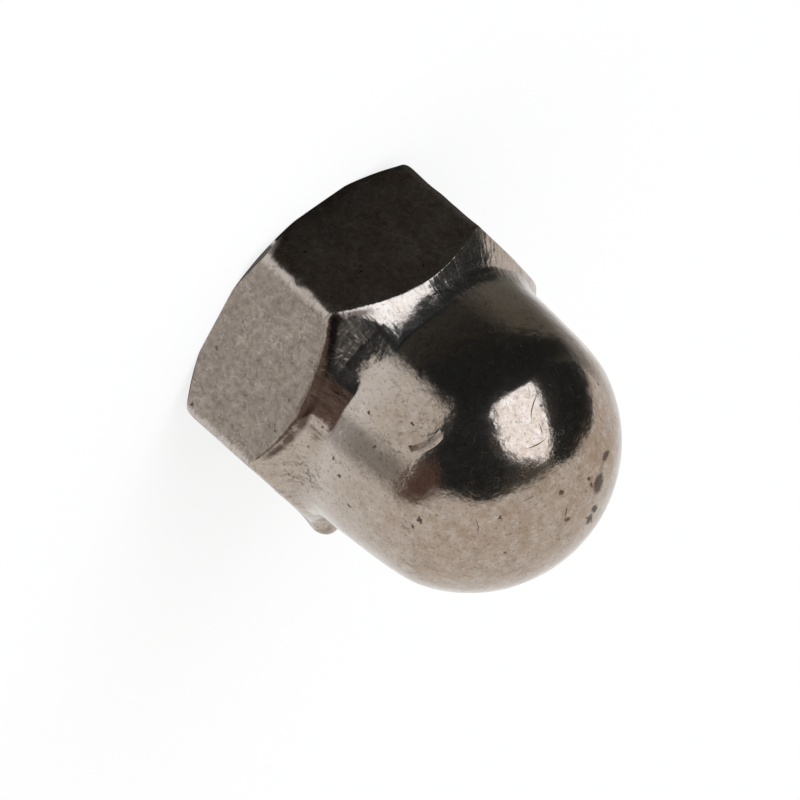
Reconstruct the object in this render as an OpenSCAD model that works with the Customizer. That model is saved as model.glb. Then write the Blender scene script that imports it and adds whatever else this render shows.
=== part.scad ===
// Domed cap nut, high form: a hexagon for the wrench, a turned barrel with a round nose,
// and a blind tapped hole that opens in the flat bearing face.
//
// The nut stands on its bearing face. The origin is the centre of that face, +Z runs along
// the thread axis to the tip of the nose, and two corners of the hexagon lie on the X axis.
// The solid is a hexagon bar with rounded corners, cut by one turned outline and bored.
// The helix of the thread isn't cut here: the hole is bored to the thread's minor diameter.

/* [Hexagon] */
// Width across flats
across_flats = 13; // [10:0.1:17]
// Radius that rounds the six upright corners
corner_r = 0.65; // [0.3:0.05:1.2]
// Height at which the upper bevel reaches the middle of each flat
hex_h = 5.7; // [4.8:0.05:7]
// Slope of the upper bevel, measured from the horizontal
upper_bevel_deg = 43; // [35:1:50]

/* [Bearing face] */
// Diameter of the flat bearing face
bearing_d = 12.6; // [11:0.1:12.9]
// Slope of the lower bevel, measured from the horizontal
lower_bevel_deg = 35; // [20:1:45]

/* [Barrel and nose] */
// Height from the bearing face to the tip of the nose
total_h = 15; // [14.6:0.1:20]
// Diameter of the barrel where it leaves the upper bevel
barrel_d = 12.1; // [11.6:0.05:12.4]
// Draft of the barrel on each side
barrel_draft_deg = 4; // [0:0.5:6]
// How much flatter than a ball the nose is, as what its radius has over the ball's
nose_flat = 0.13; // [0.05:0.01:1]
// Fillet between the upper bevel and the barrel
neck_r = 0.8; // [0.4:0.1:1.5]

/* [Tapped hole] */
// Diameter of the bored hole, the thread's minor diameter
bore_d = 6.65; // [5:0.05:7]
// Depth of the hole to the shoulder of the drill point
bore_depth = 11; // [9:0.1:11.5]
// Full angle of the drill point
drill_point_deg = 118; // [110:1:140]
// Diameter of the countersink at the bearing face
sink_d = 8.6; // [8.2:0.1:9.5]
// Full angle of the countersink
sink_deg = 120; // [90:5:120]

/* [Hidden] */
$fn = 96;

// How far a cutter runs past the surface that it cuts
overcut = 1;
// Angle left where a rounding meets a flat, so that the two surfaces cross and don't just touch
seam_deg = 4;

// Hexagon: distances from the axis to a flat and to a sharp corner
flat_r = across_flats / 2;
sharp_r = flat_r / cos(30);
// Axis distance of the centre of each corner's rounding
corner_centre = (flat_r - corner_r * cos(seam_deg)) / cos(30);

// Upper bevel: one cone that takes the corners off, down to the barrel
barrel_r = barrel_d / 2;
upper_slope = tan(upper_bevel_deg);
function bevel_z(r) = hex_h + (flat_r - r) * upper_slope;
neck_z = bevel_z(barrel_r);

// Barrel: a cone that narrows upwards from the neck
function barrel_at(z) = barrel_r - (z - neck_z) * tan(barrel_draft_deg);
// Nose: the ball that just meets the barrel, made a little larger, so the two surfaces cross
ball_r = barrel_at(total_h) * cos(barrel_draft_deg) / (1 - sin(barrel_draft_deg));
nose_r = ball_r + nose_flat;
nose_z = total_h - nose_r;

// Neck fillet: its centre lies equally far off the bevel and the barrel, above these two feet
fillet_turn = 90 - upper_bevel_deg - barrel_draft_deg;
fillet_off = neck_r * cos(seam_deg);
fillet_reach = fillet_off * tan(fillet_turn / 2);
bevel_foot = [barrel_r + fillet_reach * cos(upper_bevel_deg), neck_z - fillet_reach * sin(upper_bevel_deg)];
barrel_foot = [barrel_r - fillet_reach * sin(barrel_draft_deg), neck_z + fillet_reach * cos(barrel_draft_deg)];
fillet_centre = bevel_foot + fillet_off * [sin(upper_bevel_deg), cos(upper_bevel_deg)];

// Lower bevel and the tapped hole
bearing_r = bearing_d / 2;
lower_slope = tan(lower_bevel_deg);
bore_r = bore_d / 2;
sink_r = sink_d / 2;
sink_depth = (sink_r - bore_r) / tan(sink_deg / 2);
point_h = bore_r / tan(drill_point_deg / 2);

// The hexagon bar, with an arc on each upright corner
module hexagon_outline() {
    difference() {
        circle(r = sharp_r, $fn = 6);
        for (corner = [0 : 60 : 300]) rotate(corner) corner_waste();
    }
}

// What the rounding takes off one corner: a block from inside the rounding's circle outwards,
// as wide as the span between the two flats' feet, less that circle
module corner_waste() {
    foot = corner_r * [cos(30), sin(30)];
    difference() {
        translate([corner_centre + foot.x / 2, -foot.y]) square([corner_r + overcut, 2 * foot.y]);
        translate([corner_centre, 0]) circle(r = corner_r);
    }
}

// Half section of the turned form: bearing face, lower bevel, upper bevel, neck and barrel
module body_outline() {
    wide = sharp_r + overcut;
    polygon([
        [0, 0],
        [bearing_r, 0],
        [wide, (wide - bearing_r) * lower_slope],
        [wide, bevel_z(wide)],
        [barrel_r, neck_z],
        [barrel_at(total_h), total_h],
        [0, total_h],
    ]);
    neck_fillet_outline();
}

// What the fillet fills in between the upper bevel and the barrel
module neck_fillet_outline() {
    difference() {
        polygon([bevel_foot, barrel_foot, [barrel_r, neck_z] - neck_r * [1, 1]]);
        translate(fillet_centre) circle(r = neck_r);
    }
}

// Half plane under the round nose
module nose_outline() {
    wide = sharp_r + 2 * overcut;
    square([wide, nose_z]);
    intersection() {
        translate([0, nose_z]) circle(r = nose_r);
        translate([0, nose_z - overcut]) square([wide, nose_r + 2 * overcut]);
    }
}

// Half section of the blind hole, with its countersink and its drill point
module hole_outline() {
    polygon([
        [0, -overcut],
        [sink_r + overcut * tan(sink_deg / 2), -overcut],
        [sink_r, 0],
        [bore_r, sink_depth],
        [bore_r, bore_depth],
        [0, bore_depth + point_h],
    ]);
}

module cap_nut() {
    color("#a39c93")
    difference() {
        intersection() {
            linear_extrude(height = total_h + overcut) hexagon_outline();
            rotate_extrude() intersection() {
                body_outline();
                nose_outline();
            }
        }
        rotate_extrude() hole_outline();
    }
}

cap_nut();
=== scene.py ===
"""Domed cap nut, high form, M8, turned from steel bar and nickel plated, and its studio.

The nut stands on its bearing face with the thread axis on Z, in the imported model's frame.
Its whole skin is one closed surface worked out with numpy: turned outline, hexagon, bevels,
countersink and the helix of the thread. Lengths are in metres, and the outline's own
figures are in millimetres until the mesh is written.
"""

import math
from functools import partial

import bpy
import numpy as np
from mathutils import Matrix, Vector


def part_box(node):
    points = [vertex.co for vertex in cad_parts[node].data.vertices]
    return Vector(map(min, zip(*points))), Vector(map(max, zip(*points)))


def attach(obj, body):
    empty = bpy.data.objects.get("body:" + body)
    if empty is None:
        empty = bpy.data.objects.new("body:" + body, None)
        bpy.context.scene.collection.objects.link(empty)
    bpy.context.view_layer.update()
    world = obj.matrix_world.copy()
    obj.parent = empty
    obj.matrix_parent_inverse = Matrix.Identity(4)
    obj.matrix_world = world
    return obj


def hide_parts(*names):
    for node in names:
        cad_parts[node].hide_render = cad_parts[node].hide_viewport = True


bl_info = {
    "name": "Domed Cap Nut",
    "version": (1, 0, 0),
    "blender": (4, 5, 0),
    "location": "View3D > Sidebar > Cap Nut",
    "description": "Builds a nickel-plated domed cap nut and the studio it stands in",
    "category": "Add Mesh",
}

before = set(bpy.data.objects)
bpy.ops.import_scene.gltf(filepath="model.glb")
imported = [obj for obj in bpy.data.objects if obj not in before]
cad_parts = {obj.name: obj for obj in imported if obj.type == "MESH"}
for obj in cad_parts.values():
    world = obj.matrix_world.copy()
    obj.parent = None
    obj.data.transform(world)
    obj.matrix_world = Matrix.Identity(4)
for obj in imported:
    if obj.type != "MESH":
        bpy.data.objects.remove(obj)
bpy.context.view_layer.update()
LOW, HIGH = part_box("cap_nut")

MM = 0.001
COLUMNS = 288
SEED = 8

# Height of the nut's middle, which the camera, the cards and the softbox are set out from.
MIDDLE = 7.5 * MM

# Finishes of the nut, in the order of the mesh's material slots.
BUFFED, TURNED, DRAWN, TAPPED = range(4)


# ---------------------------------------------------------------- settings


def length_setting(name, description, default):
    return bpy.props.FloatProperty(
        name=name, description=description, default=default, min=0.0,
        subtype="DISTANCE", unit="LENGTH", precision=5,
    )


def angle_setting(name, description, degrees):
    return bpy.props.FloatProperty(
        name=name, description=description, default=math.radians(degrees),
        subtype="ANGLE", unit="ROTATION",
    )


def share_setting(name, description, default, top=1.0):
    return bpy.props.FloatProperty(
        name=name, description=description, default=default, min=0.0, max=top,
        precision=3,
    )


def linear(hex_code, alpha=1.0):
    """An sRGB colour such as #a5988b as linear red, green and blue, with alpha."""
    parts = [int(hex_code[i : i + 2], 16) / 255 for i in (1, 3, 5)]
    return tuple(
        p / 12.92 if p <= 0.04045 else ((p + 0.055) / 1.055) ** 2.4 for p in parts
    ) + (alpha,)


def colour_setting(name, description, hex_code):
    return bpy.props.FloatVectorProperty(
        name=name, description=description, default=linear(hex_code), size=4,
        min=0.0, max=1.0, subtype="COLOR",
    )


class CapNutShape(bpy.types.PropertyGroup):
    """Sizes of the nut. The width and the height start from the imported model."""

    across_flats: length_setting(
        "Across flats", "Width between two flats of the hexagon", HIGH.y - LOW.y
    )
    height: length_setting(
        "Height", "Bearing face to the tip of the nose", HIGH.z - LOW.z + 0.05 * MM
    )
    corner_radius: length_setting(
        "Corner radius", "Rounding of the six upright corners", 0.585 * MM
    )
    hexagon_height: length_setting(
        "Hexagon height", "Where the upper bevel meets the middle of a flat", 5.785 * MM
    )
    upper_bevel: angle_setting("Upper bevel", "Slope of the bevel below the barrel", 44.5)
    barrel_crown: length_setting("Barrel crown", "How far the barrel bulges", 0.045 * MM)
    bearing_diameter: length_setting("Bearing face", "Diameter of the bearing face", 12.55 * MM)
    lower_bevel: angle_setting("Lower bevel", "Slope of the bevel round the bearing face", 35.6)
    barrel_diameter: length_setting("Barrel", "Diameter of the barrel at its foot", 12.12 * MM)
    barrel_draft: angle_setting("Barrel draft", "Taper of the barrel on each side", 3.86)
    nose_radius: length_setting("Nose radius", "Radius of the round nose", 5.98 * MM)
    neck_reach: length_setting("Neck", "How far the neck's fillet runs up the barrel", 0.76 * MM)
    ridge_reach: length_setting("Ridge", "How far the ridge below the nose is eased", 0.85 * MM)
    bore_diameter: length_setting("Bore", "Minor diameter of the thread", 6.65 * MM)
    thread_diameter: length_setting("Thread", "Major diameter of the thread", 8.0 * MM)
    thread_pitch: length_setting("Pitch", "Pitch of the coarse M8 thread", 1.25 * MM)
    hole_depth: length_setting("Hole depth", "Bearing face to the drill point", 11.0 * MM)
    sink_diameter: length_setting("Countersink", "Diameter of the countersink", 8.6 * MM)


class CapNutFinish(bpy.types.PropertyGroup):
    """Colours and polish of the plating."""

    nickel: colour_setting("Nickel", "Handled nickel plate", "#b1a69b")
    # Fresh nickel is also the colour of two painted highlights: the patch above the neck and the
    # lump at a corner.
    nickel_pale: colour_setting("Fresh nickel", "Plate where it has been rubbed clean", "#c2b9b1")
    tarnish: colour_setting("Tarnish", "Warm film on the plate", "#988370")
    nickel_flats: colour_setting("Nickel on the flats", "Plate on the drawn flats", "#a0958b")
    flats_dull: colour_setting("Dull flats", "Film in the dimples of the flats", "#81766c")
    # Grime also darkens the nail-shaped dent, as painted shade.
    grime: colour_setting("Grime", "Dark grease and oxide in pits and scratches", "#42332a")
    bare_steel: colour_setting("Tapped steel", "Steel of the thread, cut before plating", "#7d7770")
    nose_polish: share_setting("Nose roughness", "Roughness of the buffed nose", 0.13)
    flat_polish: share_setting("Flat roughness", "Roughness of the drawn flats", 0.3)
    bevel_polish: share_setting("Bevel roughness", "How much rougher the turned bevels are", 0.08)


class CapNutStudio(bpy.types.PropertyGroup):
    """Light levels and the camera's place."""

    surround: share_setting("Surround", "Brightness of the pale surround", 1.0, 4.0)
    softbox: share_setting("Softbox", "Brightness of the softbox's face", 2.75, 10.0)
    daylight: colour_setting("Daylight", "Tint of the softbox", "#e7f1ff")
    floor: colour_setting("Floor", "Pale paper floor", "#e6e5e2")
    flag: colour_setting("Flag", "Black felt of the flags", "#3a3f43")
    flag_top: colour_setting(
        "Flag's top", "Felt near the flag's upper edge, which catches light", "#6a6a63"
    )
    cloth: colour_setting("Cloth", "Dark cloth on the nut's shaded side", "#4b4742")
    cloth_far: colour_setting(
        "Cloth's far end", "Cloth away from the nut, in its own shade", "#2b2e30"
    )
    cloth_fold: colour_setting("Cloth's fold", "Where a fold of the cloth catches light", "#7a7870")
    card: colour_setting("Brown card", "Brown card at the side", "#7f6b64")
    shade: colour_setting("Shade", "Shade under the nut's rim and behind the card", "#4b4642")
    camera_height: angle_setting("Camera height", "Camera's angle above the floor", 23.11)
    camera_turn: angle_setting("Camera turn", "Camera's angle round the nut from +X", 1.25)
    camera_roll: angle_setting("Camera roll", "How far the camera is rolled", 41.0)
    camera_distance: length_setting("Camera distance", "Camera to the nut's middle", 352.3 * MM)
    camera_lens: share_setting(
        "Lens", "Focal length in millimetres on a 36 mm sensor", 403.0, 1000.0
    )


# ---------------------------------------------------------------- shape


def ripple(points, wavelength, seed, waves=24):
    """Smooth seeded noise: a sum of plane waves with random directions and phases.

    The wavelengths spread by a third round the one given, and the sum has a spread of one.
    """
    chance = np.random.default_rng(SEED * 1000 + seed)
    way = chance.normal(size=(waves, 3))
    way /= np.linalg.norm(way, axis=1, keepdims=True)
    way *= 2 * np.pi / (wavelength * chance.uniform(0.7, 1.4, (waves, 1)))
    phase = chance.uniform(0, 2 * np.pi, waves)
    return np.sin(points @ way.T + phase).sum(-1) / math.sqrt(waves / 2)


def bell(value, middle, width):
    """A smooth hump: one at the middle, falling as the exponential of minus the square."""
    return np.exp(-(((value - middle) / width) ** 2))


def ramp(value, start, end):
    """Rises smoothly from nought at start to one at end."""
    share = np.clip((value - start) / (end - start), 0, 1)
    return share * share * (3 - 2 * share)


def signed_degrees(turn):
    """A turn in degrees, from -180 to 180."""
    return (np.degrees(turn) + 180) % 360 - 180


def from_corner(turn):
    """Angle from the nearest of the hexagon's six corners."""
    return np.abs((turn + np.pi / 6) % (np.pi / 3) - np.pi / 6)


def hexagon_radius(turn, flat_r, corner_r):
    """Distance from the axis to the outline of a hexagon with rounded corners.

    A flat gives its own distance over the cosine of the angle from its middle. Near a
    corner the distance is where the ray leaves the corner's circle.
    """
    off = from_corner(turn)
    centre = (flat_r - corner_r) / math.cos(math.pi / 6)
    switch = math.atan2(corner_r / 2, centre + corner_r * math.cos(math.pi / 6))
    flat = flat_r / np.cos(np.pi / 6 - off)
    reach = np.sqrt(np.maximum(corner_r**2 - (centre * np.sin(off)) ** 2, 0))
    return np.where(off < switch, centre * np.cos(off) + reach, flat)


def column_turns():
    """The angles of the grid's columns, crowded where the hexagon's corners are rounded.

    Each sixth has a share of its columns within three degrees of its corner, evenly
    spaced, and the others spread evenly over the flat.
    """
    near = np.linspace(-3, 3, 11)
    away = np.linspace(3, 57, COLUMNS // 6 - 9)[1:-1]
    sixth = np.concatenate([near, away])
    turns = (np.arange(6)[:, None] * 60 + sixth[None, :]).ravel()
    return np.radians(turns)


def at(radius, height):
    """Points of the outline from radius and height, each repeated to fit the other."""
    return np.stack(np.broadcast_arrays(radius, height), -1)


def line(start, end, count):
    """Points evenly spaced from start, left out, to end, kept, for every column."""
    step = np.linspace(0, 1, count + 1)[1:, None, None]
    return start + (end - start) * step


def rounded(before, corner, after, count):
    """Rounds a corner with a quadratic curve that leaves and meets its two lines along them.

    The curve starts at before, ends at after and is pulled towards corner.
    """
    step = np.linspace(0, 1, count + 1)[1:, None, None]
    return (1 - step) ** 2 * before + 2 * step * (1 - step) * corner + step**2 * after


def toward(start, goal, distance):
    """The point that lies distance from start on the way to goal."""
    way = goal - start
    return start + way * (distance / np.linalg.norm(way, axis=-1))[..., None]


def thread_radius(height, turn, shape):
    """Radius of the tapped hole, a right-hand helix of the ISO metric form.

    The groove's depth is a trapezoid in height over pitch less the turn: full over an
    eighth of the pitch, nothing over a quarter, straight between, fading at the far end.
    """
    pitch = shape.thread_pitch / MM
    crest, root = shape.bore_diameter / 2 / MM, shape.thread_diameter / 2 / MM
    across = np.abs((height / pitch - turn / (2 * np.pi)) % 1.0 - 0.5) * 2
    groove = np.clip((0.75 - across) / 0.625, 0, 1)
    fade = np.clip((shape.hole_depth / MM - 1.0 - height) / pitch, 0, 1)
    return crest + (root - crest) * groove * fade


def nose_sizes(shape):
    """Ball's radius and centre height, barrel's foot radius and height, and its taper."""
    ball, foot = shape.nose_radius / MM, shape.barrel_diameter / 2 / MM
    rise = (shape.across_flats / 2 / MM - foot) * math.tan(shape.upper_bevel)
    foot_z = shape.hexagon_height / MM + rise
    return ball, shape.height / MM - ball, foot, foot_z, math.tan(shape.barrel_draft)


def nut_outline(turn, shape):
    """Radius and height of every row and column of the nut's skin, and each row's finish.

    The neck's and the upper edge's heights come with them, and the drill point's.

    A column runs from the tip of the nose over ball, barrel, neck fillet, upper bevel,
    flat, lower bevel and bearing face into the countersink, up the thread and to the drill
    point. Both bevels were cut a little off the axis, so their heights gain a plane's tilt.
    """
    one = np.ones_like(turn)
    nil = np.zeros_like(turn)
    degrees = signed_degrees(turn)
    flat_r = shape.across_flats / 2 / MM
    rim = hexagon_radius(turn, flat_r, shape.corner_radius / MM)
    ball, ball_z, barrel_r, middle_neck, taper = nose_sizes(shape)
    slope = math.tan(shape.upper_bevel)
    lean = (-0.378 * np.cos(turn) - 0.214 * np.sin(turn)) / flat_r

    def bevel_at(radius):
        # A cone, plus the tilt.
        height = shape.hexagon_height / MM + (flat_r - radius) * slope + lean * radius
        return at(radius, height)

    def barrel(z):
        # A cone with a low parabola on it, over the barrel's own height.
        half = 2.25
        along = np.clip((z - middle_neck - half) / half, -1, 1)
        return barrel_r - (z - middle_neck) * taper + shape.barrel_crown / MM * (1 - along**2)

    # The barrel leaves the ball near where the two cross, over a soft ridge.
    neck_z = bevel_at(barrel_r)[:, 1]
    cross = shape.barrel_draft + math.acos(
        min(float(barrel(ball_z)) * math.cos(shape.barrel_draft) / ball, 1.0)
    )
    eased = shape.ridge_reach / MM
    lifts = np.linspace(np.pi / 2, cross + eased / ball, 72)[1:]
    nose = at(ball * np.cos(lifts), ball_z + ball * np.sin(lifts))
    nose = nose[:, None, :] * one[:, None]
    below_z = ball_z + ball * math.sin(cross) - eased
    below = at(one * barrel(below_z), below_z)
    # The ridge's corner is where the tangents of its two ends meet.
    steep = barrel(below_z + 0.01) - barrel(below_z)
    back = np.array([math.sin(lifts[-1]), -math.cos(lifts[-1])])
    way = np.array([100 * float(steep), 1.0])
    gap = below[0] - nose[-1, 0]
    reach = (gap[0] * way[1] - gap[1] * way[0]) / (back[0] * way[1] - back[1] * way[0])
    ridge = nose[-1] + back * reach

    # Neck: a fillet that runs out up the barrel and meets the bevel at a blunt angle. It
    # is tighter in one place, where the form tool dug in, and wider beside it.
    wider = 0.3 * bell(degrees, -2, 5)
    above_z = neck_z + shape.neck_reach / MM + wider - 0.2 * bell(degrees, 7, 4.5)
    heel = 0.19
    neck = at(barrel(neck_z + heel), neck_z + heel + wider)
    foot_r = barrel_r + 0.2
    foot = bevel_at(foot_r)
    barrel_z = below_z + (above_z - below_z) * np.linspace(0, 1, 31)[1:, None]
    side = at(barrel(barrel_z), barrel_z)

    # Edge between bevel and flat, worn softest on the flat that faces 30 degrees.
    keen = ramp(degrees, -24, -34) * ramp(degrees, -90, -72)
    edge = bevel_at(rim)
    ease = 0.13 + 0.17 * bell(degrees, 27, 30) - 0.11 * keen
    flat_top = at(rim, edge[:, 1] - ease)
    ease_in = 0.14 + 0.30 * bell(degrees, 20, 28) - 0.12 * keen
    bevel_end_r = rim - np.minimum(ease_in, (rim - foot_r) * 0.86)
    bevel_end = bevel_at(bevel_end_r)
    bevel = bevel_at(foot_r + (bevel_end_r - foot_r) * np.linspace(0, 1, 21)[1:, None])

    # Lower bevel and bearing face.
    fall = math.tan(shape.lower_bevel)
    tip = (-0.247 * np.cos(turn) - 0.03 * np.sin(turn)) / flat_r
    face_r = np.minimum(shape.bearing_diameter / 2 / MM * fall / (fall + tip), rim - 0.08)
    low_z = np.maximum((rim - face_r) * (fall + tip), 0.06)
    low = at(rim, low_z)
    face = at(face_r, nil)
    flat_low = at(rim, low_z + 0.36)
    bevel_low = toward(low, face, np.minimum(0.16, (rim - face_r) * 0.45))
    bevel_foot = toward(face, low, 0.02)
    face_in = at(face_r - 0.05, nil)
    sink_r = shape.sink_diameter / 2 / MM
    mouth = at(sink_r, nil)

    # Tapped hole: the countersink's cone or the thread, whichever is wider.
    depth, bore = shape.hole_depth / MM, shape.bore_diameter / 2 / MM
    heights = np.linspace(0, depth, 79)[1:, None]
    sink = sink_r - heights * math.tan(math.radians(60))
    hole = at(np.maximum(sink, thread_radius(heights, turn, shape)), heights)
    end = at(bore * one, depth)
    point = at(nil, depth + bore / math.tan(math.radians(59)))

    # Slipped wrenches have pressed the bevel there to a steeper, straighter slope.
    slope_rows = np.concatenate(
        [rounded(side[-1], neck, foot, 14), bevel, rounded(bevel_end, edge, flat_top, 8)]
    )
    down = (above_z - slope_rows[..., 1]) / (above_z - flat_top[:, 1])
    side_press = 0.5 * ramp(degrees, -40, -30) * ramp(degrees, -4, -9)
    pressed = np.maximum(side_press, ramp(degrees, 9, 17) * ramp(degrees, 37, 31))
    chord = side[-1, :, 0] + (flat_top[:, 0] - side[-1, :, 0]) * down
    slope_rows[..., 0] += pressed * (chord - slope_rows[..., 0])

    parts = [
        (nose, BUFFED),
        (rounded(nose[-1], ridge, below, 24), BUFFED),
        (side[:-12], BUFFED),
        (side[-12:], TURNED),
        (slope_rows, TURNED),
        (line(flat_top, flat_low, 34), DRAWN),
        (rounded(flat_low, low, bevel_low, 7), DRAWN),
        (line(bevel_low, bevel_foot, 7), TURNED),
        (rounded(bevel_foot, face, face_in, 3), TURNED),
        (line(face_in, mouth, 9), TURNED),
        (hole, TAPPED),
        (line(end, point, 8)[:-1], TAPPED),
    ]
    grid = np.concatenate([p for p, _ in parts])
    finish = np.concatenate([[kind] * len(p) for p, kind in parts])
    return grid[..., 0], grid[..., 1], finish, neck_z, edge[:, 1], point[0, 1]


def skin_normals(grid):
    """Unit normals of the grid: its step along a column crossed with its step round a row."""
    along = np.gradient(grid, axis=0)
    around = np.roll(grid, -1, axis=1) - np.roll(grid, 1, axis=1)
    normal = np.cross(along, around)
    return normal / np.maximum(np.linalg.norm(normal, axis=-1, keepdims=True), 1e-12)


def on_nose(shape, turn, height, lean):
    """A point of the nose or barrel at a turn in degrees and a height, with its frame.

    The ball's radius there is the root of its radius squared less the height over its
    centre squared, and the barrel's is the foot's less its taper. The smaller one counts.
    The frame's first axis leans from the level by lean degrees, and its last is the normal.
    """
    ball, ball_z, foot, foot_z, taper = nose_sizes(shape)
    lift = height - ball_z
    cone = foot - (height - foot_z) * taper
    round_r = math.sqrt(max(ball**2 - lift**2, 0.0)) if lift > 0 else cone + 1
    angle, lean = math.radians(turn), math.radians(lean)
    out = Vector((math.cos(angle), math.sin(angle), 0))
    east = Vector((-math.sin(angle), math.cos(angle), 0))
    if round_r < cone:
        normal = (out * round_r + Vector((0, 0, lift))).normalized()
    else:
        normal = (out + Vector((0, 0, taper))).normalized()
    place = out * min(round_r, cone) + Vector((0, 0, height))
    up = normal.cross(east)
    first = east * math.cos(lean) + up * math.sin(lean)
    second = up * math.cos(lean) - east * math.sin(lean)
    return place, first, second, normal


def ding_depth(points, shape, dings):
    """How far each point is knocked in: a bell over an ellipse for each ding.

    A ding has a turn in degrees, a height, half its length and width, its lean from the
    level in degrees, and its depth, in millimetres. It counts within 3 mm.
    """
    depth = np.zeros(points.shape[:-1])
    for turn, height, long, wide, lean, deep in dings:
        place, first, second, _ = (np.array(v) for v in on_nose(shape, turn, height, lean))
        away = points - place
        off = ((away @ first) / long) ** 2 + ((away @ second) / wide) ** 2
        depth += np.where((away**2).sum(-1) < 9, deep * np.exp(-off), 0)
    return depth


def random_dings(count):
    """Shallow dings all round the nose and barrel, from knocks against other nuts."""
    chance = np.random.default_rng(SEED)
    spans = (-180, 180), (7.2, 14.6), (0.15, 0.55), (0.10, 0.25), (0, 180), (0.001, 0.005)
    return np.stack([chance.uniform(low, high, count) for low, high in spans], -1)


# Dings that stand out: turn, height, half length, half width, lean, depth.
DINGS = [
    (12.5, 10.08, 0.75, 0.30, -24.0, 0.010),
    (-61.5, 9.45, 0.40, 0.16, 20.0, 0.008),
    (-57.0, 11.2, 0.35, 0.15, 35.0, 0.006),
    (-66.0, 14.55, 0.36, 0.18, 60.0, 0.012),
]

# Rows from the nose down to the middle of the upper bevel, which dings reach, and rows of the
# hole and the inner half of the bearing face, which nothing has knocked.
UPPER_ROWS, INNER_ROWS = 150, 90

# The lump at a corner: turn, distance from the axis, height, reach, and moves out and up.
LUMP_TURN, LUMP_R, LUMP_Z = math.radians(120), 7.15, 5.3
LUMP_REACH, LUMP_OUT, LUMP_UP = 0.7, 0.33, 0.44


def handled(grid, finish, shape):
    """Moves the skin along its normals as years of wrenches and other nuts have.

    Dings lower it, a faint ripple keeps reflections from being perfect, the edges are
    ragged, and the corner at 120 degrees was driven up into a rounded lump.
    """
    normal = skin_normals(grid)
    radius = np.hypot(grid[..., 0], grid[..., 1])
    row = np.arange(len(finish))
    outside = ((finish != TAPPED) & (row < len(finish) - INNER_ROWS))[:, None]
    flat = (finish == DRAWN)[:, None]
    turn = np.degrees(np.arctan2(grid[..., 1], grid[..., 0]))
    corner = np.exp(-((((turn + 30) % 60 - 30) / 3.2) ** 2)) * flat
    front = bell(turn, 0, 3.5) * flat * bell(grid[..., 2], 2.9, 1.9)
    move = 0.0022 * ripple(grid, 2.4, 1) + 0.0012 * ripple(grid, 1.1, 2)
    move += flat * 0.004 * ripple(grid, 1.7, 3)
    move += corner * 0.010 * ripple(grid, 0.9, 4) + front * 0.014 * ripple(grid, 0.45, 5)
    every = np.concatenate([np.array(DINGS), random_dings(70)])
    move -= ding_depth(grid, shape, every) * (row < UPPER_ROWS)[:, None]
    grid = grid + normal * (move * outside)[..., None]

    lump = np.array([LUMP_R * math.cos(LUMP_TURN), LUMP_R * math.sin(LUMP_TURN), LUMP_Z])
    near = np.exp(-(((grid - lump) / LUMP_REACH) ** 2).sum(-1))
    out = grid * [1, 1, 0] / np.maximum(radius, 1e-6)[..., None]
    return grid + near[..., None] * (LUMP_OUT * out + np.array([0, 0, LUMP_UP])), near


def nut_skin(shape):
    """Vertices, quads, triangles, face finishes and layers of the closed skin, in metres.

    Column angle and row along the outline give x = radius cos, y = radius sin, z = height.
    One vertex closes the nose and one the drill point, with a fan of triangles round each.
    Chatter is strong on the upper bevel in three lobes and fades out up the barrel. Wear is
    one on the corners, falling as a bell of the distance along the flat, and lower on the
    flats' feet; on the lump the same layer is one and paints it pale, a painted highlight over
    its shaded underside. The seam, one along part of the upper edge, holds grime.
    """
    turn = column_turns()
    radius, height, finish, neck_z, edge_z, bottom = nut_outline(turn, shape)
    grid = np.stack([radius * np.cos(turn), radius * np.sin(turn), height], -1)
    degrees = signed_degrees(turn)
    lobe = (degrees - 8 + 60) % 120 - 60
    rattled = 0.45 + 0.55 * ramp(lobe, -20, -13) * ramp(lobe, 24, 15)
    shaded = ramp(degrees, -57, -48) * ramp(degrees, -27, -33)
    rattled += 0.45 * shaded - 0.25 * bell(degrees, -20, 9)
    chatter = np.clip(1.0 - (height - neck_z - 0.35) / (0.75 + 0.6 * shaded), 0, 1) * rattled
    drawn, turned = ((finish == kind)[:, None] for kind in (DRAWN, TURNED))
    chatter = np.where(turned & (height >= 1.5), chatter, 0)
    along = radius * np.sin(from_corner(turn))
    low_edge = np.where(drawn, height, 99).min(0)
    feet = 0.45 * (1 - ramp(height - low_edge, 0.36, 0.6))
    wear_and_highlight = np.where(drawn, np.maximum(bell(along, 0, 0.4), feet), 0)
    seam = bell(height - edge_z, 0.12, 0.17) * (drawn | turned)
    seam = seam * ramp(degrees, -14, -5) * ramp(degrees, 60, 50) * (1 - 0.7 * bell(degrees, 23, 10))
    grid, lump = handled(grid, finish, shape)
    # The lump joins this layer as painted light: it turns the lump's shaded underside pale.
    wear_and_highlight = np.maximum(wear_and_highlight, lump)
    rows, columns = radius.shape
    tip = grid[0, :, 2].mean() + (shape.height / MM - height[0, 0])
    vertices = np.concatenate([[[0, 0, tip]], grid.reshape(-1, 3), [[0, 0, bottom]]]) * MM

    index = 1 + np.arange(rows * columns).reshape(rows, columns)
    after = np.roll(index, -1, axis=1)
    quads = np.stack([index[:-1], index[1:], after[1:], after[:-1]], -1).reshape(-1, 4)
    last = rows * columns + 1
    tip_fan = np.stack([np.zeros(columns, int), index[0], after[0]], -1)
    point_fan = np.stack([np.full(columns, last), after[-1], index[-1]], -1)
    kinds = np.concatenate(
        [np.repeat(finish[1:], columns), np.full(columns, BUFFED), np.full(columns, TAPPED)]
    )
    layers = {"chatter": chatter, "wear_and_highlight": wear_and_highlight, "seam": seam}
    layers = {name: np.concatenate([[0], v.ravel(), [0]]) for name, v in layers.items()}
    return vertices, quads, np.concatenate([tip_fan, point_fan]), kinds, layers


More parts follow.
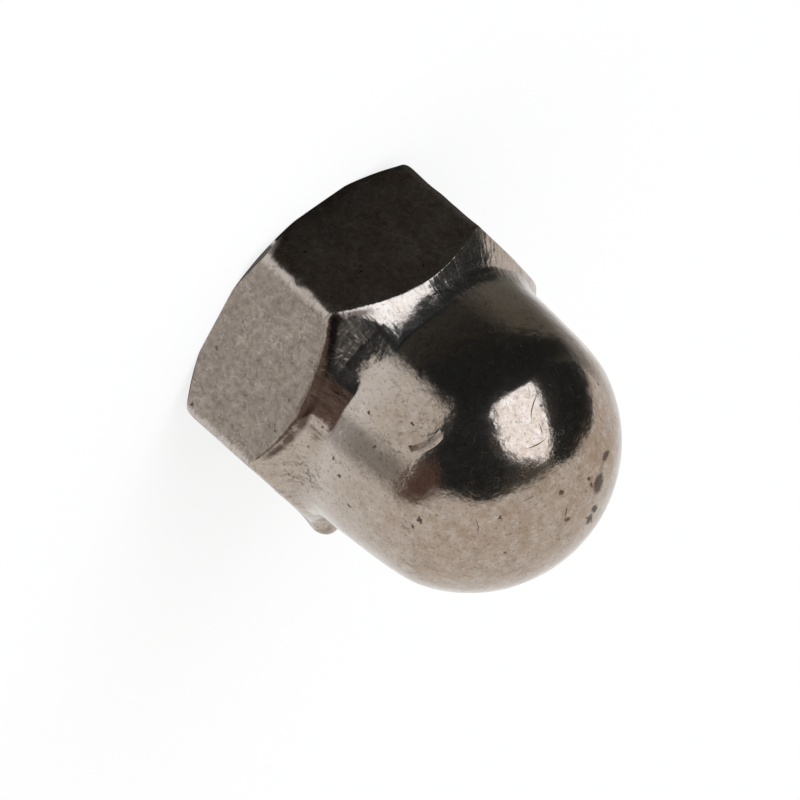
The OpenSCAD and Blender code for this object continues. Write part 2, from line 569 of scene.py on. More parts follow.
def mesh_piece(name, vertices, quads, triangles=None, kinds=None, layers=None):
    """An object at the origin whose mesh, with any layers of shares, is filled from arrays."""
    triangles = np.zeros((0, 3), int) if triangles is None else triangles
    mesh = bpy.data.meshes.new(name)
    mesh.vertices.add(len(vertices))
    mesh.vertices.foreach_set("co", vertices.astype(np.float32).ravel())
    loops = np.concatenate([quads.ravel(), triangles.ravel()]).astype(np.int32)
    mesh.loops.add(len(loops))
    mesh.loops.foreach_set("vertex_index", loops)
    starts = np.concatenate(
        [np.arange(len(quads)) * 4, len(quads) * 4 + np.arange(len(triangles)) * 3]
    )
    mesh.polygons.add(len(starts))
    mesh.polygons.foreach_set("loop_start", starts.astype(np.int32))
    mesh.polygons.foreach_set("use_smooth", np.ones(len(starts), bool))
    if kinds is not None:
        mesh.polygons.foreach_set("material_index", kinds.astype(np.int32))
    for layer, values in (layers or {}).items():
        shares = mesh.attributes.new(layer, "FLOAT", "POINT")
        shares.data.foreach_set("value", values.astype(np.float32))
    mesh.update(calc_edges=True)
    mesh.validate()
    piece = bpy.data.objects.new(name, mesh)
    bpy.context.scene.collection.objects.link(piece)
    return piece


# ---------------------------------------------------------------- materials


def add_node(tree, kind, sockets=None, **settings):
    """Adds a shader node, sets its options and its sockets, and links those given an output.

    A node given for a socket stands for its first output in use.
    """
    node = tree.nodes.new("ShaderNode" + kind)
    for name, value in settings.items():
        setattr(node, name, value)
    for key, value in (sockets or {}).items():
        if isinstance(value, bpy.types.Node):
            value = next(output for output in value.outputs if output.enabled)
        if isinstance(value, bpy.types.NodeSocket):
            tree.links.new(value, node.inputs[key])
        else:
            node.inputs[key].default_value = value
    return node


def new_material(name):
    """An empty node material, add_node for its tree, and its own coordinates in millimetres."""
    material = bpy.data.materials.new(name)
    material.use_nodes = True
    material.node_tree.nodes.clear()
    add = partial(add_node, material.node_tree)
    place = add("TexCoord").outputs["Object"]
    mm = add("VectorMath", {0: place, 1: (1000, 1000, 1000)}, operation="MULTIPLY")
    return material, add, mm


def clouds(add, mm, size, low, high, detail=4.0, roughness=0.6):
    """Cloudy patches about size millimetres across, as a share from nought to one."""
    noise = add(
        "TexNoise",
        {"Vector": mm, "Scale": 1 / size, "Detail": detail, "Roughness": roughness},
    )
    return add("MapRange", {"Value": noise, "From Min": low, "From Max": high})


def bent(add, mm, size, reach):
    """The coordinates pushed about by noise of one size, by up to half of reach each way."""
    noise = add("TexNoise", {"Vector": mm, "Scale": 1 / size, "Detail": 2.0})
    centred = add(
        "VectorMath", {0: noise.outputs["Color"], 1: (0.5, 0.5, 0.5)}, operation="SUBTRACT"
    )
    return add(
        "VectorMath", {0: centred, 1: (reach, reach, reach), 2: mm}, operation="MULTIPLY_ADD"
    )


def pits(add, mm, spacing, size, kept):
    """Pits where the skin passes near random points, with ragged outlines.

    The points lie spacing millimetres apart, and only the kept share of them counts.
    """
    cell = add("TexVoronoi", {"Vector": bent(add, mm, 0.09, 0.22), "Scale": 1 / spacing})
    near = add(
        "MapRange",
        {"Value": cell, "From Min": size / spacing, "From Max": 0.4 * size / spacing},
    )
    pick = add("SeparateColor", {"Color": cell.outputs["Color"]})
    chosen = add("Math", {0: pick, 1: 1 - kept}, operation="GREATER_THAN")
    return add("Math", {0: near, 1: chosen}, operation="MULTIPLY")


def hairlines(add, mm, size, width, low, high):
    """Curving hairline scratches: where cloudy noise passes its middle, in some patches.

    Noise size millimetres across crosses its middle along curves, shown width wide.
    """
    noise = add("TexNoise", {"Vector": mm, "Scale": 1 / size, "Detail": 2.5, "Roughness": 0.6})
    level = add("Math", {0: noise, 1: 0.5}, operation="SUBTRACT")
    off = add("Math", {0: level}, operation="ABSOLUTE")
    near = add("MapRange", {"Value": off, "From Min": 0.35 * width / size, "From Max": 0.0})
    where = clouds(add, mm, 0.75, low, high, detail=2.0)
    return add("Math", {0: near, 1: where}, operation="MULTIPLY")


def crackle(add, mm, place, reach):
    """A net of fine cracks in the plate: borders of random cells within reach of a place."""
    cell = add(
        "TexVoronoi", {"Vector": bent(add, mm, 0.35, 0.75), "Scale": 1 / 0.45},
        feature="DISTANCE_TO_EDGE",
    )
    near = add(
        "MapRange", {"Value": cell, "From Min": 0.12, "From Max": 0.0, "To Max": 0.9}
    )
    local = add(
        "Mapping", {"Vector": mm, "Location": place, "Scale": (reach, reach, reach)},
        vector_type="TEXTURE",
    )
    ball = add("TexGradient", {"Vector": local}, gradient_type="SPHERICAL")
    patch = clouds(add, mm, 0.5, 0.42, 0.56, detail=3.0)
    inside = add("MapRange", {"Value": ball.outputs["Fac"], "From Max": 0.4})
    there = add("Math", {0: inside, 1: patch}, operation="MULTIPLY")
    return add("Math", {0: near, 1: there}, operation="MULTIPLY")


def most(add, *shares):
    """The largest of several shares, so that marks that overlap do not add up."""
    largest = shares[0]
    for share in shares[1:]:
        largest = add("Math", {0: largest, 1: share}, operation="MAXIMUM")
    return largest


# Grimy dings of the nose: turn, height, half length, half width and lean of each.
GRIMY_DINGS = [
    (-69.5, 14.65, 0.52, 0.44, 100.0), (-51.0, 14.53, 0.20, 0.10, 160.0),
    (-56.0, 14.65, 0.16, 0.10, 117.0), (-74.0, 14.15, 0.40, 0.21, 38.0),
    (-17.0, 14.44, 0.18, 0.12, 128.0), (-5.5, 14.89, 0.20, 0.12, 133.0),
    (-90.0, 14.93, 0.36, 0.20, 5.0), (-100.0, 15.00, 0.34, 0.22, 160.0),
    (23.4, 13.62, 0.09, 0.08, 0.0), (41.9, 11.41, 0.22, 0.11, 35.0),
    (46.5, 11.25, 0.12, 0.05, 20.0), (18.1, 7.52, 0.09, 0.09, 0.0),
    (10.6, 9.22, 0.09, 0.08, 0.0), (27.3, 8.45, 0.08, 0.08, 0.0),
    (47.7, 7.60, 0.10, 0.09, 0.0), (42.7, 7.10, 0.10, 0.09, 0.0),
    (58.2, 8.38, 0.12, 0.07, 70.0),
]

# Long scratches: turn, height, half length, half width, lean, and how far the middle bows.
SCRATCHES = [
    (-28.5, 12.00, 0.75, 0.030, 38.0, -0.16), (-19.5, 13.05, 0.55, 0.030, -12.0, 0.10),
    (-26.0, 12.75, 0.30, 0.025, 70.0, 0.05), (-88.0, 15.00, 0.42, 0.045, 25.0, 0.08),
    (-120.0, 14.98, 0.34, 0.040, 10.0, 0.05), (-11.0, 14.80, 0.32, 0.040, 50.0, 0.03),
    (71.0, 11.40, 0.38, 0.028, 78.0, 0.04), (33.0, 13.20, 0.40, 0.022, 30.0, 0.07),
    (5.0, 13.95, 0.35, 0.022, -30.0, 0.05),
]

# Turn, height, half length, half width and lean of the dent bent like a nail's edge, of the
# stain on the nose and of the patch above the neck that is painted pale as a highlight.
NAIL_DENT = (12.6, 10.05, 1.0, 1.0, -24.0)
STAIN = (-72.0, 14.0, 3.2, 2.2, 40.0)
PAINTED_HIGHLIGHT_PATCH = (19.0, 7.2, 1.3, 0.6, 8.0)

# Where the plate has cracked above the bevel: turn, distance from the axis and height, and
# how far the cracks reach.
CRACKED_TURN, CRACKED_R, CRACKED_Z, CRACKED_REACH = math.radians(59), 6.4, 6.1, 1.2


def on_skin(add, mm, shape, mark):
    """Coordinates lying on the skin about a mark, one across for each half of its size."""
    turn, height, long, wide, lean = mark[:5]
    place, *axes = on_nose(shape, turn, height, lean)
    turned = Matrix(axes).transposed().to_euler()
    return add(
        "Mapping",
        {"Vector": mm, "Location": place, "Rotation": turned, "Scale": (long, wide, 0.35)},
        vector_type="TEXTURE",
    )


def bowed(add, local, bend):
    """X squared, and Y with bend times X squared added, which measures from a parabola."""
    square = add("Math", {0: local.outputs["X"], 1: local.outputs["X"]}, operation="MULTIPLY")
    bow = add("Math", {0: square, 1: bend, 2: local.outputs["Y"]}, operation="MULTIPLY_ADD")
    return square, bow


def grimy_dings(add, mm, shape):
    """Dings that hold grime: for each an ellipsoid on the skin, full in the middle."""
    ragged = bent(add, mm, 0.10, 0.26)
    shares = []
    for ding in GRIMY_DINGS:
        local = on_skin(add, ragged, shape, ding)
        ball = add("TexGradient", {"Vector": local}, gradient_type="SPHERICAL")
        shares.append(ball.outputs["Fac"])
    return add("MapRange", {"Value": most(add, *shares), "From Max": 0.4})


def long_scratches(add, mm, shape):
    """Scratches that bow: for each a parabola on the skin, fading over its half width."""
    shaky = bent(add, mm, 0.35, 0.10)
    shares = []
    for scratch in SCRATCHES:
        local = add("SeparateXYZ", {0: on_skin(add, shaky, shape, scratch)})
        _, bow = bowed(add, local, scratch[5] / scratch[3])
        curved = add(
            "CombineXYZ", {"X": local.outputs["X"], "Y": bow, "Z": local.outputs["Z"]}
        )
        ball = add("TexGradient", {"Vector": curved}, gradient_type="SPHERICAL")
        shares.append(ball.outputs["Fac"])
    return add("MapRange", {"Value": most(add, *shares), "From Max": 0.5})


def nail_dent(add, mm, shape):
    """Depth, from nought to one, of the dent by the ridge that is bent like a nail's edge.

    Across it the depth steps in over six hundredths of a millimetre and comes back out
    from two tenths on; along it the dent bows and fades towards both ends.
    """
    local = add("SeparateXYZ", {0: on_skin(add, mm, shape, NAIL_DENT)})
    square, bow = bowed(add, local, 0.25)
    depth, run = (
        add(
            "MapRange", {"Value": bow, "From Min": start, "From Max": end},
            interpolation_type="SMOOTHSTEP",
        )
        for start, end in ((-0.06, 0.0), (0.38, 0.2))
    )
    ends = add("MapRange", {"Value": square, "From Min": 0.52, "From Max": 0.12})
    near = add("Math", {0: local.outputs["Z"], 1: -1.0}, operation="GREATER_THAN")
    for share in (run, ends, near):
        depth = add("Math", {0: depth, 1: share}, operation="MULTIPLY")
    return depth


def nickel_plate(add, mm, finish, shape):
    """What all the turned skin shares: colour, roughness and relief of tumbled nickel.

    Tumbling leaves it nearly a mirror. A ripple two thirds of a millimetre long frays the
    edges of reflections, a warm film lies in patches and thickest on the nose, and pits,
    hairlines and dings hold grime. The nail-shaped dent gets painted shade in the grime
    colour, and a patch above the neck gets a painted highlight in the pale colour. Relief is in
    millimetres.
    """
    high = add("SeparateXYZ", {0: mm}).outputs["Z"]
    nose, foot, neck, bevel = (
        add(
            "MapRange",
            {"Value": high, "From Min": start, "From Max": end, "To Min": least, "To Max": full},
        )
        for start, end, least, full in (
            (8.5, 12.5, 0.0, 0.4), (6.7, 6.1, 0.0, 0.08), (8.4, 7.0, 0.0, 0.65),
            (6.1, 6.7, 0.2, 1.0),
        )
    )
    film = clouds(add, mm, 0.9, 0.36, 0.66, detail=6.0, roughness=0.7)
    # The second gradient is a painted highlight: it turns the patch above the neck pale in place of
    # light.
    stain, painted_highlight = (
        add(
            "TexGradient", {"Vector": on_skin(add, bent(add, mm, size, reach), shape, mark)},
            gradient_type="SPHERICAL",
        ).outputs["Fac"]
        for size, reach, mark in ((0.6, 1.0, STAIN), (0.3, 0.5, PAINTED_HIGHLIGHT_PATCH))
    )
    thick = most(add, nose, foot)
    for share, amount in ((film, 0.55), (stain, 0.6)):
        thick = add(
            "Math", {0: share, 1: amount, 2: thick}, operation="MULTIPLY_ADD", use_clamp=True
        )
    worn = clouds(add, mm, 0.35, 0.48, 0.85, detail=5.0, roughness=0.75)
    neck = add("Math", {0: neck, 1: bevel}, operation="MULTIPLY")
    specks = clouds(add, mm, 0.14, 0.54, 0.76, detail=3.0)

    # Marks: pits, hairlines, dings, cracks, long scratches and the nail-shaped dent, whose hollow
    # gets painted shade in the grime colour.
    place = Vector(
        (math.cos(CRACKED_TURN) * CRACKED_R, math.sin(CRACKED_TURN) * CRACKED_R, CRACKED_Z)
    )
    cracks = crackle(add, mm, place, CRACKED_REACH)
    small = pits(add, mm, 0.75, 0.085, 0.35)
    marks = most(
        add, hairlines(add, mm, 0.9, 0.030, 0.50, 0.60), hairlines(add, mm, 0.5, 0.022, 0.55, 0.68)
    )
    dings = most(add, grimy_dings(add, mm, shape), cracks)
    scratches = long_scratches(add, mm, shape)
    dent = nail_dent(add, mm, shape)
    # The dent's share, held below, darkens the dent with the grime colour as painted shade.
    faint, held, faded = (
        add("Math", {0: share, 1: amount}, operation="MULTIPLY")
        for share, amount in ((marks, 0.45), (dent, 0.35), (specks, 0.55))
    )
    dirt = most(add, small, dings, scratches, faint, held)
    dim = add("Math", {0: dirt, 1: 0.8}, operation="MULTIPLY")

    colour = finish.nickel
    for share, over in (
        (thick, finish.tarnish), (most(add, worn, most(add, painted_highlight, neck)), finish.nickel_pale),
        (faded, finish.grime), (dim, finish.grime),
    ):
        colour = add("Mix", {0: share, 6: colour, 7: over}, data_type="RGBA")
    polish = finish.nose_polish
    rough = add("MapRange", {"Value": film, "To Min": polish * 0.85, "To Max": polish * 1.35})
    rough = add("Math", {0: dirt, 1: 0.35, 2: rough}, operation="MULTIPLY_ADD")
    wave = add("TexNoise", {"Vector": mm, "Scale": 1.5, "Detail": 3.0, "Roughness": 0.5})
    relief = add("Math", {0: wave, 1: 0.020}, operation="MULTIPLY")
    for share, amount in ((dings, -0.008), (marks, -0.001), (dent, -0.04)):
        relief = add("Math", {0: share, 1: amount, 2: relief}, operation="MULTIPLY_ADD")
    return colour, rough, relief


def metal_surface(add, colour, rough, relief):
    """Bare metal with relief in millimetres, which Bump's distance turns into metres."""
    bump = add("Bump", {"Height": relief, "Distance": 0.001, "Strength": 1.0})
    shader = add(
        "BsdfPrincipled",
        {"Base Color": colour, "Metallic": 1.0, "Roughness": rough, "Normal": bump},
    )
    add("OutputMaterial", {"Surface": shader})


def seam_grime(add, mm, colour, finish):
    """Grime along the upper edge, where the seam attribute and a cloud of its own allow."""
    seam = add("Attribute", attribute_name="seam").outputs["Fac"]
    there = clouds(add, mm, 0.8, 0.15, 0.45, detail=3.0)
    share = add("Math", {0: seam, 1: there}, operation="MULTIPLY")
    held = add("MapRange", {"Value": share, "From Min": 0.15, "From Max": 0.75, "To Max": 0.85})
    return add("Mix", {0: held, 6: colour, 7: finish.grime}, data_type="RGBA")


def nickel_buffed(finish, shape):
    """Nickel plate over the turned and tumbled nose: nearly a mirror, warm and scuffed."""
    material, add, mm = new_material("nickel_buffed")
    metal_surface(add, *nickel_plate(add, mm, finish, shape))
    return material


def nickel_turned(finish, shape):
    """Nickel plate over the bevels that a form tool cut.

    The tool chattered, so folds run down the slope, a fifth of a millimetre apart and
    a hundredth deep, and reflections break into streaks. They fade out up the barrel, and
    their valleys hold some grime. A brown line of grime lies along part of the edge.
    """
    material, add, mm = new_material("nickel_turned")
    colour, rough, relief = nickel_plate(add, mm, finish, shape)
    colour = seam_grime(add, mm, colour, finish)
    # Distance round the nut, free of the radius: the direction from the axis times 6.8 mm.
    level = add("VectorMath", {0: mm, 1: (1, 1, 0)}, operation="MULTIPLY")
    way = add("VectorMath", {0: level}, operation="NORMALIZE")
    drift = add("VectorMath", {0: mm, 1: (0.15, 0.15, 0.3)}, operation="MULTIPLY")
    around = add("VectorMath", {0: way, 1: (6.8, 6.8, 0), 2: drift}, operation="MULTIPLY_ADD")
    fold = add("TexNoise", {"Vector": around, "Scale": 4.2, "Detail": 1.5, "Roughness": 0.45})
    chatter = add("Attribute", attribute_name="chatter").outputs["Fac"]
    patchy = clouds(add, mm, 0.6, 0.2, 0.7, detail=2.0)
    strength = add("Math", {0: chatter, 1: patchy}, operation="MULTIPLY")
    valley = add("MapRange", {"Value": fold, "From Min": 0.47, "From Max": 0.36, "To Max": 0.5})
    held = add("Math", {0: strength, 1: valley}, operation="MULTIPLY", use_clamp=True)
    colour = add("Mix", {0: held, 6: colour, 7: finish.grime}, data_type="RGBA")
    deep = add("Math", {0: strength, 1: fold}, operation="MULTIPLY")
    relief = add("Math", {0: deep, 1: 0.034, 2: relief}, operation="MULTIPLY_ADD")
    rough = add("Math", {0: chatter, 1: finish.bevel_polish, 2: rough}, operation="MULTIPLY_ADD")
    metal_surface(add, colour, rough, relief)
    return material


def nickel_drawn(finish):
    """Nickel plate over the cold-drawn flats of hexagon bar.

    Drawing and barrel plating leave a satin skin, dimpled every third of a millimetre,
    with small pits and a few rubbed specks.
    """
    material, add, mm = new_material("nickel_drawn")
    mottle = clouds(add, mm, 0.28, 0.34, 0.68, detail=4.0, roughness=0.65)
    broad = clouds(add, mm, 1.4, 0.35, 0.65, detail=3.0)
    pale_curls = hairlines(add, mm, 0.42, 0.055, 0.46, 0.60)
    rubbed = add("Math", {0: pale_curls, 1: 0.45}, operation="MULTIPLY")
    # Corners are rubbed bright in short strokes that run in from the corner, and the lump is
    # painted pale the same way, a painted highlight over its shaded underside.
    wear_and_highlight = add("Attribute", attribute_name="wear_and_highlight").outputs["Fac"]
    across = add("VectorMath", {0: mm, 1: (0.8, 0.8, 3)}, operation="MULTIPLY")
    fray = add("TexNoise", {"Vector": across, "Scale": 3.0, "Detail": 4.0, "Roughness": 0.7})
    frayed = add("Math", {0: fray, 1: 1.3, 2: wear_and_highlight}, operation="MULTIPLY_ADD")
    bright = add("MapRange", {"Value": frayed, "From Min": 1.25, "From Max": 1.6, "To Max": 0.9})
    shifted = add("VectorMath", {0: mm, 1: (7, 3, 5)}, operation="ADD")
    lines = hairlines(add, shifted, 0.5, 0.045, 0.44, 0.60)
    faint = add("Math", {0: lines, 1: 0.4}, operation="MULTIPLY")
    dirt = most(add, pits(add, mm, 0.8, 0.10, 0.5), faint)
    colour = finish.nickel_flats
    for share, over in (
        (mottle, finish.flats_dull), (most(add, rubbed, bright), finish.nickel_pale),
        (dirt, finish.grime),
    ):
        colour = add("Mix", {0: share, 6: colour, 7: over}, data_type="RGBA")
    polish = finish.flat_polish
    rough = add("MapRange", {"Value": broad, "To Min": polish * 0.85, "To Max": polish * 1.15})
    dimple = add("TexNoise", {"Vector": mm, "Scale": 3.0, "Detail": 3.0, "Roughness": 0.5})
    relief = add("Math", {0: dimple, 1: 0.012}, operation="MULTIPLY")
    relief = add("Math", {0: dirt, 1: -0.006, 2: relief}, operation="MULTIPLY_ADD")
    metal_surface(add, seam_grime(add, mm, colour, finish), rough, relief)
    return material


def steel_tapped(finish):
    """Tapped steel with thin plating: a tap leaves fine torn lines along the thread."""
    material, add, mm = new_material("steel_tapped")
    drawn = add("VectorMath", {0: mm, 1: (1, 1, 6)}, operation="MULTIPLY")
    tear = add("TexNoise", {"Vector": drawn, "Scale": 1.5, "Detail": 4.0, "Roughness": 0.6})
    colour = add("Mix", {0: tear, 6: finish.bare_steel, 7: finish.grime}, data_type="RGBA")
    relief = add("Math", {0: tear, 1: 0.01}, operation="MULTIPLY")
    metal_surface(add, colour, 0.42, relief)
    return material


# ---------------------------------------------------------------- studio

# Each card over the floor lies this much above the one before, so that none meet.
CARD_STEP = 0.002 * MM

# How far the cards reach in under the flats.
RIM_LAP = 0.03 * MM

# How far the floor runs out each way, and how far it lies below the bearing face.
FLOOR_REACH, FLOOR_DROP = 6.0, 0.01 * MM

# How far the picture's middle lies left of and above the nut's middle.
OFF_RIGHT, OFF_DOWN = 1.645 * MM, 0.657 * MM


def direction(lon, lat):
    """Unit vector at an angle round from +X and a height above the floor, in degrees."""
    lon, lat = np.radians(lon), np.radians(lat)
    return np.stack([np.cos(lat) * np.cos(lon), np.cos(lat) * np.sin(lon), np.sin(lat)], -1)


def sheet_faces(rows, columns):
    """Quads between neighbouring rows and columns of an open grid."""
    index = np.arange(rows * columns).reshape(rows, columns)
    return np.stack(
        [index[:-1, :-1], index[:-1, 1:], index[1:, 1:], index[1:, :-1]], -1
    ).reshape(-1, 4)


def matt(name, low_colour, high_colour, lowest, highest, by_height):
    """Matt felt, cloth or card, one colour fading into another between two distances.

    The distance is the height, or the way out from the nut. The pile is too fine to show.
    The piece's own attribute says where it frays out to nothing.
    """
    material, add, mm = new_material(name)
    if by_height:
        away = add("SeparateXYZ", {0: mm}).outputs["Z"]
    else:
        away = add("VectorMath", {0: mm}, operation="LENGTH")
    share = add(
        "MapRange", {"Value": away, "From Min": lowest, "From Max": highest},
        interpolation_type="SMOOTHSTEP",
    )
    colour = add("Mix", {0: share, 6: low_colour, 7: high_colour}, data_type="RGBA")
    pile = add("BsdfDiffuse", {"Color": colour, "Roughness": 1.0})
    clear = add("BsdfTransparent")
    solid = add("Attribute", attribute_name="solid").outputs["Fac"]
    add("OutputMaterial", {"Surface": add("MixShader", {0: solid, 1: clear, 2: pile})})
    return material


def sheet_piece(name, points, solid, material):
    """A card from a grid of points, with how solid it is at each.

    It works by its reflection in the metal, and leaves the floor's own light alone.
    """
    solid = np.broadcast_to(solid, points.shape[:2]).ravel()
    faces = sheet_faces(*points.shape[:2])
    card = mesh_piece(name, points.reshape(-1, 3), faces, layers={"solid": solid})
    card.data.materials.append(material)
    for rays in ("camera", "diffuse", "shadow", "transmission"):
        setattr(card, "visible_" + rays, False)


def wall_card(name, lons, low, high, distance, fray, material):
    """Part of a sphere about the nut: a grid in angle round and height, at one distance.

    It frays out towards both ends and its upper edge, over fray degrees.
    """
    share = np.linspace(0, 1, 49)[:, None]
    lats = low + (high - low) * share
    points = direction(lons + 0 * lats, lats) * distance + np.array([0, 0, MIDDLE])
    solid = ramp(lons, lons[0], lons[0] + fray) * ramp(lons, lons[-1], lons[-1] - fray)
    sheet_piece(name, points, solid * ramp(lats, high, high - fray), material)


def floor_card(name, lons, inner, outer, solid, frays, soft, material):
    """A sector just over the floor: a grid in angle and radius, from inner to outer.

    It is as solid as given and frays out over two angles, at its start and its end. A soft
    one frays out inwards and outwards as well.
    """
    share = np.linspace(0, 1, 41)[:, None]
    reach = (inner + (outer - inner) * share)[..., None]
    height = CARD_STEP * (1 + len(bpy.data.meshes))
    points = direction(lons, 0 * lons)[None] * reach + np.array([0, 0, height])
    solid = solid * ramp(lons, lons[0], lons[0] + frays[0])
    solid = solid * ramp(lons, lons[-1], lons[-1] - frays[1])
    if soft:
        solid = solid * ramp(share, 0, 0.2) * ramp(share, 1, 0.7)
    sheet_piece(name, points, solid + 0 * reach[..., 0], material)


def paper_floor(studio):
    """Pale paper that runs on as far as the camera sees.

    What the camera and the metal see of it is brought up to white, and the rest of the
    share stays plain paper, so the nut's soft shadow shows.
    """
    along = np.linspace(-FLOOR_REACH, FLOOR_REACH, 3)
    x, y = np.meshgrid(along, along)
    points = np.stack([x, y, 0 * x - FLOOR_DROP], -1).reshape(-1, 3)
    floor = mesh_piece("floor", points, sheet_faces(3, 3))
    material, add, _ = new_material("paper_floor")
    paper = add("BsdfDiffuse", {"Color": studio.floor, "Roughness": 1.0})
    white = add("Emission", {"Color": (1, 1, 1, 1), "Strength": 1.0})
    rays = add("LightPath").outputs
    seen = most(
        add, rays["Is Camera Ray"], rays["Is Glossy Ray"], rays["Is Transmission Ray"]
    )
    share = add("Math", {0: seen, 1: 0.8}, operation="MULTIPLY")
    add("OutputMaterial", {"Surface": add("MixShader", {0: share, 1: paper, 2: white})})
    floor.data.materials.append(material)


# Upper edge of the sky flag: angle round the nut and height, in degrees.
SKY_EDGE = [
    (-130, 0), (-128, 12), (-125, 24), (-123, 36), (-119, 50), (-112, 61), (-102, 69),
    (-87, 75), (-70, 80), (-50, 83), (-25, 84), (-5, 83), (10, 81), (22, 78), (33, 74),
    (42, 69), (49, 63), (53, 52), (55, 38), (56, 26),
]


def flags(studio, shape):
    """Black flags beside the nut, the brown card and the dark cloth on its shaded side.

    The sky flag reaches from the horizon to an edge that is straight between listed points.
    A low flag stands on the floor in front, and the paper before it shows pale below it.
    """
    felt = matt("black_felt", studio.flag, studio.flag_top, 540.0, 610.0, True)
    cloth = matt("dark_cloth", studio.cloth, studio.cloth_far, 18.0, 40.0, False)
    fold = matt("cloth_fold", studio.cloth_fold, studio.cloth_fold, 0.0, 1.0, False)
    brown = matt("brown_card", studio.card, studio.card, 0.0, 1.0, True)
    shade = matt("shade", studio.shade, studio.shade, 0.0, 1.0, True)
    edge = np.array(SKY_EDGE, float)
    lons = np.linspace(-130.0, 56.0, 161)
    high = np.interp(lons, edge[:, 0], edge[:, 1])
    wall_card("sky_flag", lons, 0.0 * lons - 5.0, np.maximum(high, -4.0), 0.62, 9.0, felt)
    lons = np.linspace(-16.0, 46.0, 63)
    low = np.interp(lons, [-4, 0, 6, 12, 20, 29, 36, 44], [-12, -8, -6, -4.5, -5, -4.5, -5, -6])
    wall_card("low_flag", lons, low, 0.0 * lons + 10.0, 0.06, 2.0, felt)
    lons = np.linspace(22.0, 82.0, 81)
    top = np.interp(lons, [22, 28, 36, 45, 54, 62, 70, 82], [14, 20, 29, 33, 31, 22, 6, -6])
    low = np.interp(lons, [28, 36, 44, 55], [-0.8, -3.1, -5.2, -7.5])
    wall_card("brown_card", lons, low, top, 0.058, 17.0, brown)

    def rim(turns):
        # Where the nut's flats end.
        return hexagon_radius(np.radians(turns), shape.across_flats / 2, shape.corner_radius)

    # Name, start and end, inner and outer distance in millimetres, how solid, frays, soft.
    # No inner distance means that a card starts under the nut's rim.
    for name, start, end, inner, outer, solid, frays, soft, material in (
        ("near_cloth", -150.0, -2.0, None, 620.0, 1.0, (38.0, 9.0), False, cloth),
        ("cloth_fold", -150.0, -64.0, 17.0, 39.0, 0.75, (30.0, 30.0), True, fold),
        ("cloth_far", -160.0, -84.0, 28.0, 600.0, 0.35, (34.0, 34.0), True, fold),
        ("card_shade", 35.0, 74.0, 18.0, 62.0, 0.62, (15.0, 15.0), True, shade),
    ):
        lons = np.linspace(start, end, 80)
        inner = rim(lons) - RIM_LAP if inner is None else inner * MM + 0 * lons
        floor_card(name, lons, inner, outer * MM + 0 * lons, solid, frays, soft, material)
    for name, start, end, solid in (
        ("rim_shade", -6.0, 230.0, 0.85), ("rim_shade_side", -130.0, -6.0, 1.0)
    ):
        lons = np.linspace(start, end, 121)
        floor_card(name, lons, 0.8 * rim(lons), rim(lons) - RIM_LAP, solid, (1, 1), False, shade)


def softbox(studio):
    """A softbox half a metre off, turned a little. Its power is brightness, pi and area."""
    distance, wide, tall = 0.5, 0.346, 0.48
    way = Vector(direction(-43.6, 39.5))
    data = bpy.data.lights.new("softbox", "AREA")
    data.shape = "RECTANGLE"
    data.size, data.size_y = wide, tall
    data.energy = studio.softbox * math.pi * wide * tall
    data.color = studio.daylight[:3]
    lamp = bpy.data.objects.new("softbox", data)
    facing = (-way).to_track_quat("-Z", "Y").to_matrix().to_4x4()
    place = Matrix.Translation(way * distance + Vector((0, 0, MIDDLE)))
    swung, nodded, rolled = (
        Matrix.Rotation(math.radians(angle), 4, axis)
        for angle, axis in ((-10.9, "Z"), (13.3, "X"), (-12.2, "Y"))
    )
    lamp.matrix_world = place @ facing @ (swung @ nodded) @ rolled
    bpy.context.scene.collection.objects.link(lamp)


def surround(studio):
    """A plain pale surround that is the same all over."""
    world = bpy.data.worlds.new("surround")
    world.use_nodes = True
    world.node_tree.nodes.clear()
    add = partial(add_node, world.node_tree)
    pale = add("Background", {"Color": (1, 1, 1, 1), "Strength": studio.surround})
    add("OutputWorld", {"Surface": pale})
    bpy.context.scene.world = world


def studio_camera(studio):
    """The camera looks down at the nut from +X, rolled, with the nut a little off centre."""
    height, turn, roll = studio.camera_height, studio.camera_turn, studio.camera_roll
    back = Vector(
        (math.cos(height) * math.cos(turn), math.cos(height) * math.sin(turn), math.sin(height))
    )
    up = (Vector((0, 0, 1)) - back * back.z).normalized()
    side = up.cross(-back)
    right = math.cos(roll) * up + math.sin(roll) * side
    down = math.sin(roll) * up - math.cos(roll) * side
    place = (
        Vector((0, 0, MIDDLE)) + back * studio.camera_distance
        - right * OFF_RIGHT - down * OFF_DOWN
    )
    data = bpy.data.cameras.new("camera")
    data.sensor_width, data.lens = 36.0, studio.camera_lens
    data.clip_start, data.clip_end = 0.01, 50.0
    camera = bpy.data.objects.new("camera", data)
    turned = Matrix((right, -down, back)).transposed().to_4x4()
    camera.matrix_world = Matrix.Translation(place) @ turned
    bpy.context.scene.collection.objects.link(camera)
    bpy.context.scene.camera = camera


# ---------------------------------------------------------------- operators


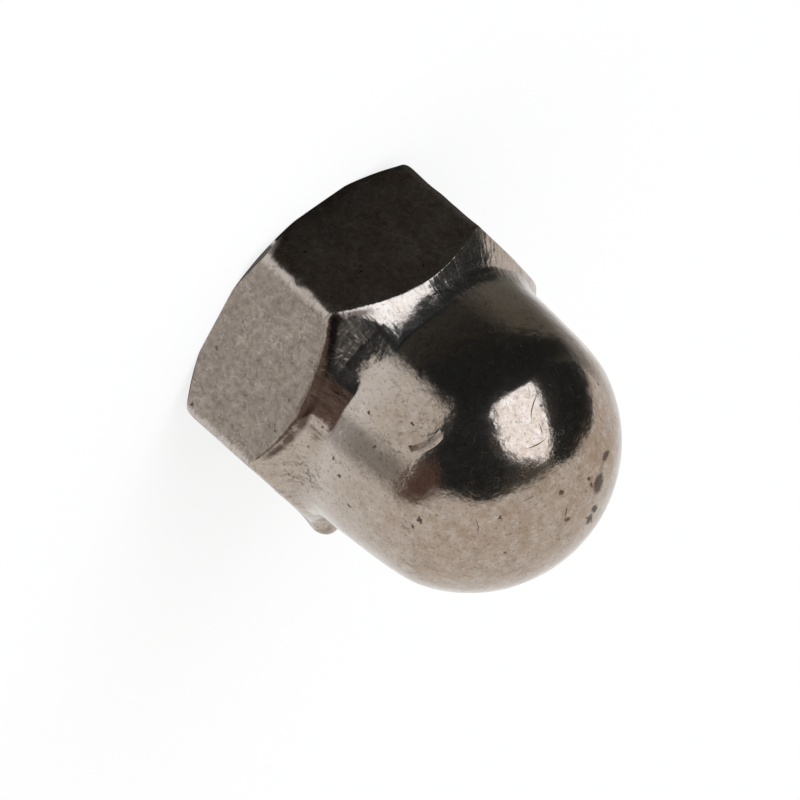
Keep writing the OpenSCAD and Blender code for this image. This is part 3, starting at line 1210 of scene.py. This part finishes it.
class CAPNUT_OT_build_nut(bpy.types.Operator):
    """Build the nut's skin and its nickel plating"""

    bl_idname = "capnut.build_nut"
    bl_label = "Build Nut"

    def execute(self, context):
        scene = context.scene
        shape, finish = scene.cap_nut_shape, scene.cap_nut_finish
        nut = mesh_piece("nut_body", *nut_skin(shape))
        nut.data.materials.append(nickel_buffed(finish, shape))
        nut.data.materials.append(nickel_turned(finish, shape))
        nut.data.materials.append(nickel_drawn(finish))
        nut.data.materials.append(steel_tapped(finish))
        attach(nut, "root")
        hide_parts("cap_nut")
        return {"FINISHED"}


class CAPNUT_OT_build_studio(bpy.types.Operator):
    """Set up the floor, the flags, the softbox, the surround and the camera"""

    bl_idname = "capnut.build_studio"
    bl_label = "Build Studio"

    def execute(self, context):
        studio = context.scene.cap_nut_studio
        paper_floor(studio)
        flags(studio, context.scene.cap_nut_shape)
        softbox(studio)
        surround(studio)
        studio_camera(studio)
        context.scene.view_settings.view_transform = "Standard"
        return {"FINISHED"}


class CAPNUT_PT_panel(bpy.types.Panel):
    """Cap nut settings and builders"""

    bl_label = "Cap Nut"
    bl_idname = "CAPNUT_PT_panel"
    bl_space_type = "VIEW_3D"
    bl_region_type = "UI"
    bl_category = "Cap Nut"

    def draw(self, context):
        layout = self.layout
        for group in GROUPS:
            settings = getattr(context.scene, group)
            box = layout.box()
            for name in settings.__annotations__:
                box.prop(settings, name)
        layout.operator(CAPNUT_OT_build_nut.bl_idname)
        layout.operator(CAPNUT_OT_build_studio.bl_idname)


GROUPS = {
    "cap_nut_shape": CapNutShape,
    "cap_nut_finish": CapNutFinish,
    "cap_nut_studio": CapNutStudio,
}
CLASSES = (*GROUPS.values(), CAPNUT_OT_build_nut, CAPNUT_OT_build_studio, CAPNUT_PT_panel)


def register():
    for cls in CLASSES:
        bpy.utils.register_class(cls)
    for name, group in GROUPS.items():
        setattr(bpy.types.Scene, name, bpy.props.PointerProperty(type=group))


def unregister():
    for name in GROUPS:
        delattr(bpy.types.Scene, name)
    for cls in reversed(CLASSES):
        bpy.utils.unregister_class(cls)


def main():
    register()
    bpy.ops.capnut.build_nut()
    bpy.ops.capnut.build_studio()


if __name__ == "__main__":
    main()
